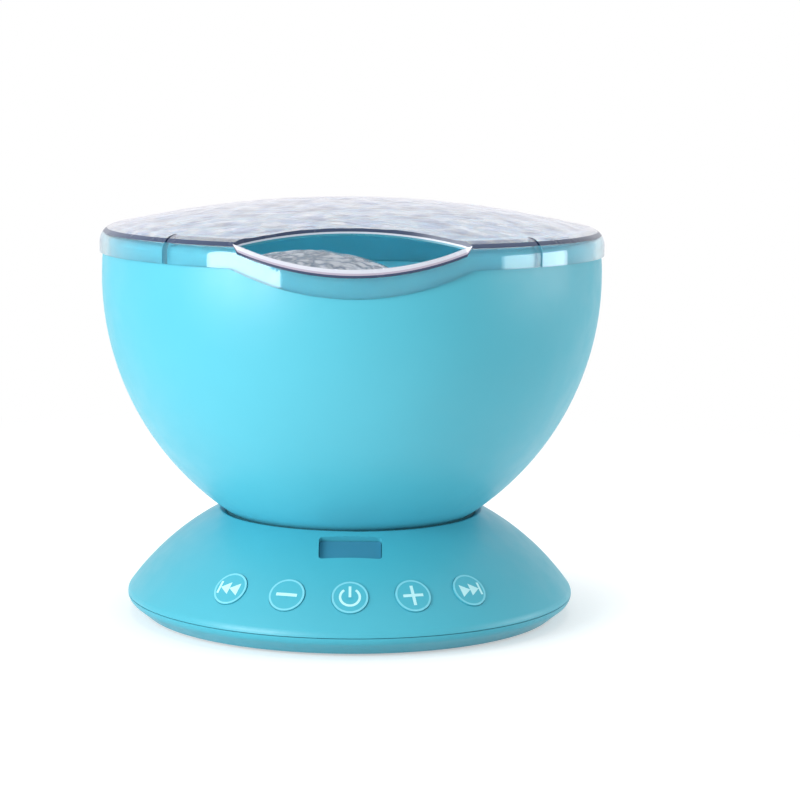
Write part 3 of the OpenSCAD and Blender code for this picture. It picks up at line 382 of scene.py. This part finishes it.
def skin(bm, rows, material):
    """Closed solid between rows of vertices. material gives a face's number from its band and its side."""
    for band, (a, b) in enumerate(zip(rows, rows[1:])):
        for side in range(len(a)):
            n = (side + 1) % len(a)
            bm.faces.new((a[side], a[n], b[n], b[side])).material_index = material(band, side)
    bm.faces.new(rows[0])
    bm.faces.new(rows[-1])


# Ripples

# One seed gives the same ripples in every run
RIPPLE_SEED = 5
# Sizes of a ripple's drift and of its fine waves and crests, in cells
DRIFT_CELL = 2.6
DRIFT = 0.7
FINE_CELL = 0.46
CREST_CELL = 1.3
# Shares of the waves in a ripple's height
BROAD_SHARE = 0.34
FINE_SHARE = 0.16
CREST_SHARE = 0.2
# Places in the noise that keep the waves apart
FINE_SHIFT = Vector((7.0, 3.0, 1.0))
CREST_SHIFT = Vector((2.0, 9.0, 4.0))

noise.seed_set(RIPPLE_SEED)


def ripple(x, y, cell, seed):
    """Height of a water-like ripple, from 0 to 1."""
    p = Vector((x, y, seed))
    q = p + noise.noise_vector(p / (DRIFT_CELL * cell)) * (DRIFT * cell)
    broad = noise.noise(q / cell)
    fine = noise.noise(q / (FINE_CELL * cell) + FINE_SHIFT)
    crest = 1 - 2 * abs(noise.noise(q / (CREST_CELL * cell) + CREST_SHIFT))
    return max(0.0, min(1.0, 0.5 + BROAD_SHARE * broad + FINE_SHARE * fine + CREST_SHARE * crest))


def fade(value, start, end):
    """Smooth step from 0 at start to 1 at end."""
    t = max(0.0, min(1.0, (value - start) / (end - start)))
    return t * t * (3 - 2 * t)


# Cover

COVER_SEGMENTS = 360
SKIRT_STEPS = 4
# How far in from the skirt the ripples of the cover run out
COVER_FADE = (6.5, 4.0)
# How far the middle of the crown lies below its sphere, outside and inside
POLE_DROP = 0.2
UNDER_POLE_DROP = 0.15
# How far a cut runs past the cover, starts below the seam and falls in front of the lip
CUT_PAST = 15.0
CUT_UNDER = 3.0
CUT_FALL = 2.0
# Steps of the notch's cut, how closely its corner is found, and how far the cut ends before it
NOTCH_STEPS = 136
CORNER_NEAR = 0.000001
CORNER_GAP = 0.03
# The least height of a band at the back of the notch
THIN = 0.01
# Materials of the notch's cut, from its front along the lip, up its back and outside the cover again. On
# the lip and the back they paint light and shade: the dark shade line, shade and a highlight on the lip,
# shade of the inside on the back, and a highlight line under the dark line
NOTCH_LOOKS = (LINE, LINE, LILAC, LIP, LIP, THROAT, LIP, LINE, TOP, TOP)
SLIT_LOOKS = (SLIT, LINE)


def seam_z(r, a):
    """Height of the seam between bowl and cover."""
    x = r * math.sin(a)
    if math.cos(a) < 0 or abs(x) >= DIP_HALF:
        return RIM_Z
    return RIM_Z - NOTCH_DIP + DIP_R - math.sqrt(DIP_R ** 2 - x * x)


def outer_look(angle):
    """Material of the outer face of the cover, from an angle up its rounding."""
    return SKIRT if angle < LINE_LOW else LINE if angle < LINE_HIGH else TOP


def inner_look(angle):
    return UNDER


def cover_rings(material, inset, depth, cell, seed, edge_angles, crown_step):
    """Rings of one face of the cover, from the seam to the crown."""
    r_skirt = COVER_R - inset
    r_edge = EDGE_R - inset
    start, end = (COVER_R - inside for inside in COVER_FADE)
    lean = math.asin((COVER_R - EDGE_R) / (CROWN_R - EDGE_R))

    def skirt(t):
        def ring(a):
            low = seam_z(r_skirt, a)
            return r_skirt, low + (EDGE_Z - low) * t
        return ring

    def edge(angle):
        return lambda a: (COVER_R - EDGE_R + r_edge * math.cos(angle), EDGE_Z + r_edge * math.sin(angle))

    def crown(r):
        z = CROWN_CENTRE + math.sqrt((CROWN_R - inset) ** 2 - r * r)
        amount = depth * (1 - fade(r, start, end))

        def ring(a):
            drop = amount * ripple(r * math.sin(a), -r * math.cos(a), cell, seed) if amount else 0.0
            return r, z - drop
        return ring

    rings = [(skirt(k / SKIRT_STEPS), material(0)) for k in range(SKIRT_STEPS)]
    rings += [(edge(math.radians(a)), material(a)) for a in edge_angles]
    r_crown = (CROWN_R - inset) * math.sin(lean)
    steps = round(r_crown / crown_step)
    rings += [(crown(r_crown * (1 - k / steps)), material(90)) for k in range(steps)]
    return rings


def notch_back(x):
    """Place of the back of the notch."""
    return -NOTCH_BACK - NOTCH_R + math.sqrt(NOTCH_R ** 2 - x * x)


def lip_z(x):
    """Height of the lip at the front of the notch."""
    return LIP_LOW + LIP_R - math.sqrt(LIP_R ** 2 - x * x)


def outer_z(r):
    """Height of the outer face of the cover at a radius, on its crown or its rounded edge."""
    out = r - COVER_R + EDGE_R
    if out < EDGE_R * (COVER_R - EDGE_R) / (CROWN_R - EDGE_R):
        return CROWN_CENTRE + math.sqrt(CROWN_R ** 2 - r * r)
    return EDGE_Z + math.sqrt(max(0.0, EDGE_R ** 2 - out * out))


def outer_r(z):
    """Outer radius of the cover at a height on its skirt or rounded edge."""
    if z < EDGE_Z:
        return COVER_R
    return COVER_R - EDGE_R + math.sqrt(max(0.0, EDGE_R ** 2 - (z - EDGE_Z) ** 2))


def face_y(x, z):
    """Place of the outer face of the cover at a height."""
    return -math.sqrt(outer_r(z) ** 2 - x * x)


def lip_scale(x):
    """Share of the lip's rounding that there is room for. It falls to nothing at the notch's corners."""
    return min(1.0, (notch_back(x) - face_y(x, lip_z(x))) / LIP_ROOM)


def notch_corner():
    """Half of the width at which the back of the notch meets the lip, on the rounded edge."""
    low, high = NOTCH_HALF - EDGE_R, NOTCH_HALF + EDGE_R
    while high - low > CORNER_NEAR:
        x = (low + high) / 2
        low, high = (x, high) if outer_z(math.hypot(x, notch_back(x))) > lip_z(x) else (low, x)
    return low


def notch_block(bm):
    """The cut of the notch, as cross-sections from its left corner to its right one."""
    reach = notch_corner() - CORNER_GAP
    rows = []
    for i in range(NOTCH_STEPS + 1):
        x = reach * (2 * i / NOTCH_STEPS - 1)
        back, low, scale = notch_back(x), lip_z(x), lip_scale(x)
        lip = [(face_y(x, low - scale * drop) + scale * inside, low - scale * drop)
               for drop, inside in (LIP_DARK, LIP_LILAC, LIP_WHITE, LIP_TOP)]
        line_z = outer_z(math.hypot(x, back)) - LINE_T
        heights = [low, max(line_z - LIGHT_T, low + THIN), max(line_z, low + 2 * THIN), CROWN_Z + CUT_PAST]
        front, front_low = lip[0][0] - CUT_PAST, lip[0][1] - CUT_FALL
        section = [(front, front_low), *lip, *((back, z) for z in heights), (front, heights[-1])]
        rows.append([bm.verts.new((x, y, z)) for y, z in section])
    skin(bm, rows, lambda band, side: NOTCH_LOOKS[side])


def slit_block(bm, angle):
    """The upright cut of a slit, with its sides parted at the painted dark shade line."""
    turn = Matrix.Rotation(math.radians(angle), 4, "Z")
    half, front, back = SLIT_W / 2, -COVER_R - CUT_PAST, SLIT_IN - COVER_R
    outline = ((-half, front), (half, front), (half, back), (-half, back))
    line_z = EDGE_Z + EDGE_R * math.sin(math.radians(LINE_LOW))
    heights = (RIM_Z - CUT_UNDER, line_z, CROWN_Z + CUT_PAST)
    rows = [[bm.verts.new(turn @ Vector((x, y, z))) for x, y in outline] for z in heights]
    skin(bm, rows, lambda band, side: SLIT_LOOKS[band])


def cover_cutter():
    """The notch and the four slits, as one mesh with the materials of the faces that they cut."""
    bm = bmesh.new()
    notch_block(bm)
    for angle in SLIT_ANGLES:
        slit_block(bm, angle)
    bmesh.ops.recalc_face_normals(bm, faces=bm.faces)
    return mesh_object("cover_cutter", bm, cover_looks)


def cut(obj, cutter):
    """Takes the cutter away from obj and deletes it."""
    modifier = obj.modifiers.new("cut", "BOOLEAN")
    modifier.operation = "DIFFERENCE"
    modifier.solver = "EXACT"
    modifier.object = cutter
    whole = bpy.data.meshes.new_from_object(obj.evaluated_get(bpy.context.evaluated_depsgraph_get()))
    obj.modifiers.clear()
    obj.data = whole
    bpy.data.objects.remove(cutter)


def cover():
    """The clear cover, with ripples in its crown."""
    outer = cover_rings(outer_look, inset=0.0, depth=0.5, cell=7.0, seed=1.5, crown_step=0.6,
                        edge_angles=(0, 12, 24, LINE_LOW, 45, LINE_HIGH, 62, 70))
    inner = cover_rings(inner_look, inset=COVER_WALL, depth=0.12, cell=8.0, seed=6.5, crown_step=1.2,
                        edge_angles=(0, 13, 26, 39, 52, 65))
    poles = (CROWN_Z - POLE_DROP, CROWN_Z - COVER_WALL - UNDER_POLE_DROP)
    bm = lathe(outer[::-1] + inner, poles, COVER_SEGMENTS)
    obj = solid("cover", bm, cover_looks, "bowl")
    cut(obj, cover_cutter())
    smooth(obj, degrees=35)
    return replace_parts(obj, "lens_cover")


# Wave lens

LENS_SEGMENTS = 180
LENS_STEPS = 44
LENS_UNDER_STEPS = 24
LENS_CELL = 5.5
LENS_SEED = 11.5
# Depths of the ripples, outside and inside, and how far in from the wall they run out
LENS_RIPPLE = 0.9
LENS_UNDER_RIPPLE = 0.5
LENS_FADE = (3.5, 1.2)
# Height of the plain band at the foot of the wall, and its chamfer
FOOT_BAND = 1.2
FOOT_CHAMFER = 0.2


def lens():
    """The turning wave lens."""
    start, end = (LENS_R - inside for inside in LENS_FADE)

    def crown(r, inset, depth):
        z = LENS_TOP - LENS_CROWN_R + math.sqrt((LENS_CROWN_R - inset) ** 2 - r * r)
        amount = depth * (1 - fade(r, start, end))

        def ring(a):
            return r, z - amount * ripple(r * math.sin(a), -r * math.cos(a), LENS_CELL, LENS_SEED + inset)
        return ring

    wall_r = LENS_R - LENS_T
    places = [crown(LENS_R * k / LENS_STEPS, 0.0, LENS_RIPPLE) for k in range(1, LENS_STEPS + 1)]
    for r, z in ((LENS_R, FOOT_BAND), (LENS_R, FOOT_CHAMFER), (LENS_R - FOOT_CHAMFER, 0.0), (wall_r, 0.0)):
        places.append(lambda a, r=r, z=z: (r, LENS_LOW + z))
    places += [crown(wall_r * k / LENS_UNDER_STEPS, LENS_T, LENS_UNDER_RIPPLE)
               for k in range(LENS_UNDER_STEPS, 0, -1)]
    poles = (LENS_TOP - LENS_RIPPLE / 2, LENS_TOP - LENS_T - LENS_UNDER_RIPPLE / 2)
    bm = lathe([(place, 0) for place in places], poles, LENS_SEGMENTS)
    bmesh.ops.translate(bm, vec=(LENS_X, 0, 0), verts=bm.verts)
    obj = solid("wave_lens", bm, [lens_look], "wave_rotor")
    smooth(obj, degrees=45)
    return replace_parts(obj, "ripple_lens")


# Prints and painted edge highlights on the keys

# How far the printed sign and the painted highlight ring stand above the crown of their key, and how thick
# they are
MARK_PROUD = 0.03
MARK_T = 0.13
# Distances at which points of a print are joined and slivers taken out
WELD = 0.001
SLIVER = 0.0005


def key_matrix(name):
    """Place of a key at the top of its crown, with z out along its slide and y up the slope."""
    joint = next(j for j in frame["joints"] if j["name"] == name + "_press")
    out = -Vector(joint["axis"])
    right = Vector((-out.y, out.x, 0)).normalized()
    axes = Matrix((right, out.cross(right), out))
    points = [axes @ (v.co / MM) for v in cad["key_" + name].data.vertices]
    slope = [p.y for p in points]
    top = Vector((0, (min(slope) + max(slope)) / 2, max(p.z for p in points)))
    turn = axes.transposed()
    return Matrix.Translation(turn @ top) @ turn.to_4x4()


def line(start, end, count=9):
    """Points along a straight line."""
    steps = [k / (count - 1) for k in range(count)]
    return [(start[0] + (end[0] - start[0]) * t, start[1] + (end[1] - start[1]) * t) for t in steps]


def arc(r, start, end, count):
    """Points along an arc, with angles in degrees from the top."""
    angles = [math.radians(start + (end - start) * k / (count - 1)) for k in range(count)]
    return [(r * math.sin(a), r * math.cos(a)) for a in angles]


def band(outer, inner, start, end, count):
    """Strip between two arcs."""
    return arc(outer, start, end, count), arc(inner, start, end, count)


def bar(left, low, right, high):
    """Straight strip."""
    return line((left, low), (right, low)), line((left, high), (right, high))


def pointer(tip, base, half):
    """Triangle that points sideways."""
    return line((tip, 0), (base, half)), line((tip, 0), (base, -half))


# A light ring at the very edge of a key, painted as the highlight of that edge
EDGE_HIGHLIGHT_RING = band(5.12, 4.58, start=0, end=360, count=121)
SKIP = [
    pointer(tip=3.2, base=0.2, half=2.0),
    pointer(tip=0.25, base=-2.9, half=2.0),
    bar(left=3.2, low=-2.0, right=3.9, high=2.0),
]
SIGNS = {
    "previous": [[[(-x, y) for x, y in side] for side in strip] for strip in SKIP],
    "volume_down": [bar(left=-3.05, low=-0.48, right=3.05, high=0.48)],
    "power": [
        band(3.1, 2.4, start=36, end=324, count=61),
        bar(left=-0.38, low=-0.1, right=0.38, high=3.5),
    ],
    "volume_up": [
        bar(left=-2.95, low=-0.45, right=2.95, high=0.45),
        bar(left=-0.45, low=0.45, right=0.45, high=3.2),
        bar(left=-0.45, low=-3.2, right=0.45, high=-0.45),
    ],
    "next": SKIP,
}


def crown_strip(bm, one, two, material):
    """A strip between two lines of points, laid on the crown of a key."""
    rows = []
    for side in (one, two):
        crown = [math.sqrt(KEY_CROWN_R ** 2 - x * x - y * y) - KEY_CROWN_R for x, y in side]
        rows.append([bm.verts.new((x, y, z + MARK_PROUD)) for (x, y), z in zip(side, crown)])
    for k in range(len(one) - 1):
        face = bm.faces.new((rows[0][k], rows[0][k + 1], rows[1][k + 1], rows[1][k]))
        face.material_index = material


def print_sign_and_highlight(name, strips):
    """The painted highlight ring at the edge of a key, and its printed sign."""
    bm = bmesh.new()
    crown_strip(bm, *EDGE_HIGHLIGHT_RING, RIM)
    for one, two in strips:
        crown_strip(bm, one, two, SIGN)
    bmesh.ops.remove_doubles(bm, verts=bm.verts, dist=WELD)
    bmesh.ops.dissolve_degenerate(bm, edges=bm.edges, dist=SLIVER)
    under = bmesh.ops.extrude_face_region(bm, geom=bm.faces[:], use_keep_orig=True)["geom"]
    lowered = [v for v in under if isinstance(v, bmesh.types.BMVert)]
    bmesh.ops.translate(bm, vec=(0, 0, -MARK_T), verts=lowered)
    bmesh.ops.recalc_face_normals(bm, faces=bm.faces)
    bmesh.ops.transform(bm, matrix=key_matrix(name), verts=bm.verts)
    obj = solid("mark_" + name, bm, print_and_highlight_looks, name + "_key")
    smooth(obj, degrees=40)


# Stage

LAMP_DISTANCE = 0.85
FLOOR_SIZE = 12.0
# Distances between which the floor runs out to white
FLOOR_FADE = (0.12, 0.42)
# The camera that was fitted to the photo: its place, its pitch in radians and its roll in degrees, and its
# focal length and the object's place to the side in pixels of the photo
CAMERA_PLACE = (0, -0.716, 0.162)
CAMERA_PITCH = 0.136
CAMERA_ROLL = 0.6
SENSOR = 36.0
PHOTO_PX = 800
FOCAL_PX = 2397.5
OFF_CENTRE_PX = 49


def soft_box(name, width, height, place, turn, radiance):
    """A lamp with an even face, which the camera doesn't see."""
    data = bpy.data.lights.new(name, "AREA")
    data.shape = "RECTANGLE"
    data.size = width
    data.size_y = height
    data.energy = radiance * math.pi * width * height
    obj = bpy.data.objects.new(name, data)
    obj.location = place
    obj.rotation_euler = turn
    obj.visible_camera = False
    scene.collection.objects.link(obj)


def side_lamp(name, azimuth, half_span, low, high, radiance):
    """An upright soft box that faces the object. Azimuth 0 is the front, and positive to the right."""
    a = math.radians(azimuth)
    width = 2 * LAMP_DISTANCE * math.tan(math.radians(half_span))
    place = (LAMP_DISTANCE * math.sin(a), -LAMP_DISTANCE * math.cos(a), (low + high) / 2)
    soft_box(name, width, high - low, place, (math.pi / 2, 0, a), radiance)


def seen(tree):
    """1 for a ray from the camera, off gloss or through clear plastic, and 0 for any other."""
    path = add_node(tree, "ShaderNodeLightPath")
    share = path.outputs["Is Camera Ray"]
    for ray in ("Is Glossy Ray", "Is Transmission Ray"):
        links = {0: share, 1: path.outputs[ray]}
        share = add_node(tree, "ShaderNodeMath", links, operation="MAXIMUM").outputs[0]
    return share


def sky(ambient):
    """White where it is seen, and a plain level of light otherwise."""
    world = bpy.data.worlds.new("studio")
    scene.world = world
    world.use_nodes = True
    tree = world.node_tree
    background = tree.nodes["Background"]
    background.inputs["Color"].default_value = (*WHITE, 1.0)
    level = add_node(tree, "ShaderNodeMapRange", {"Value": seen(tree), "To Min": ambient, "To Max": 1.0})
    tree.links.new(level.outputs["Result"], background.inputs["Strength"])


def floor(albedo, lift):
    """Pale floor that keeps the shadow near the object and runs out to white."""
    bpy.ops.mesh.primitive_grid_add(x_subdivisions=8, y_subdivisions=8, size=FLOOR_SIZE)
    obj = bpy.context.object
    obj.name = "floor"
    material = bpy.data.materials.new("floor_white")
    material.use_nodes = True
    tree = material.node_tree
    tree.nodes.remove(tree.nodes["Principled BSDF"])
    shown = seen(tree)
    lifted = add_node(tree, "ShaderNodeMath", {0: shown, 1: lift}, operation="MULTIPLY").outputs[0]
    diffuse = add_node(tree, "ShaderNodeBsdfDiffuse", {"Color": (albedo, albedo, albedo, 1.0)})
    glow = add_node(tree, "ShaderNodeEmission", {"Strength": lifted})
    near = add_node(tree, "ShaderNodeAddShader", {0: diffuse.outputs[0], 1: glow.outputs[0]})
    white = add_node(tree, "ShaderNodeEmission", {"Strength": shown})
    coords = add_node(tree, "ShaderNodeTexCoord").outputs["Object"]
    length = add_node(tree, "ShaderNodeVectorMath", {0: coords}, operation="LENGTH").outputs["Value"]
    links = {"Value": length, "From Min": FLOOR_FADE[0], "From Max": FLOOR_FADE[1]}
    out = add_node(tree, "ShaderNodeMapRange", links, interpolation_type="SMOOTHSTEP").outputs["Result"]
    far = add_node(tree, "ShaderNodeMixShader", {0: out, 1: near.outputs[0], 2: white.outputs[0]})
    tree.links.new(far.outputs[0], tree.nodes["Material Output"].inputs["Surface"])
    obj.data.materials.append(material)


def camera():
    """The camera that took the photo."""
    data = bpy.data.cameras.new("camera")
    data.sensor_width = SENSOR
    data.lens = SENSOR * FOCAL_PX / PHOTO_PX
    data.clip_start = 0.01
    obj = bpy.data.objects.new("camera", data)
    yaw = Matrix.Rotation(-math.atan(OFF_CENTRE_PX / FOCAL_PX), 4, "Z")
    pitch = Matrix.Rotation(math.pi / 2 - CAMERA_PITCH, 4, "X")
    roll = Matrix.Rotation(math.radians(CAMERA_ROLL), 4, "Z")
    obj.matrix_world = Matrix.Translation(CAMERA_PLACE) @ yaw @ pitch @ roll
    scene.collection.objects.link(obj)
    scene.camera = obj


# The object

NODE_LOOKS = {
    "bowl_blue": ["bowl_shell", "lamp_deck", "deck_cover"],
    "base_blue": ["base_shell", "base_plate"],
    "key_blue": ["key_previous", "key_volume_down", "key_power", "key_volume_up", "key_next"],
    "window_blue": ["ir_window"],
    "rubber": ["rubber_feet", "clamp_pad"],
    "seat": ["seat_ring"],
    "steel": ["base_screws", "tilt_bolt", "spring_washers", "tilt_nut", "speaker_magnet", "board_screws",
              "usb_socket", "deck_screws", "lamp_screws", "motor_case", "motor_screws", "motor_shaft"],
    "black_plastic": ["speaker_frame", "control_chip", "capacitors", "audio_jack", "key_switches",
                      "ir_receiver"],
    "white_plastic": ["slide_plate", "key_bracket", "reflector", "ring_gear", "drive_pinion"],
    "board": ["main_board", "key_boards", "ir_board", "led_board"],
    "paper": ["speaker_cone"],
    "led": ["leds"],
}

for look_name, node_names in NODE_LOOKS.items():
    for node_name in node_names:
        cad[node_name].data.materials.clear()
        cad[node_name].data.materials.append(look[look_name])

cover()
lens()
for key_name, sign in SIGNS.items():
    print_sign_and_highlight(key_name, sign)

scene.view_settings.view_transform = "Standard"
camera()
sky(ambient=0.55)
floor(albedo=0.7, lift=0.45)
side_lamp("key_light", azimuth=-47.5, half_span=17, low=0.01, high=0.52, radiance=8.8)
side_lamp("side_light", azimuth=88, half_span=20, low=0.01, high=0.27, radiance=4.3)
soft_box("top_light", width=0.36, height=0.36, place=(0, 0, 0.9), turn=(0, 0, 0), radiance=9.0)
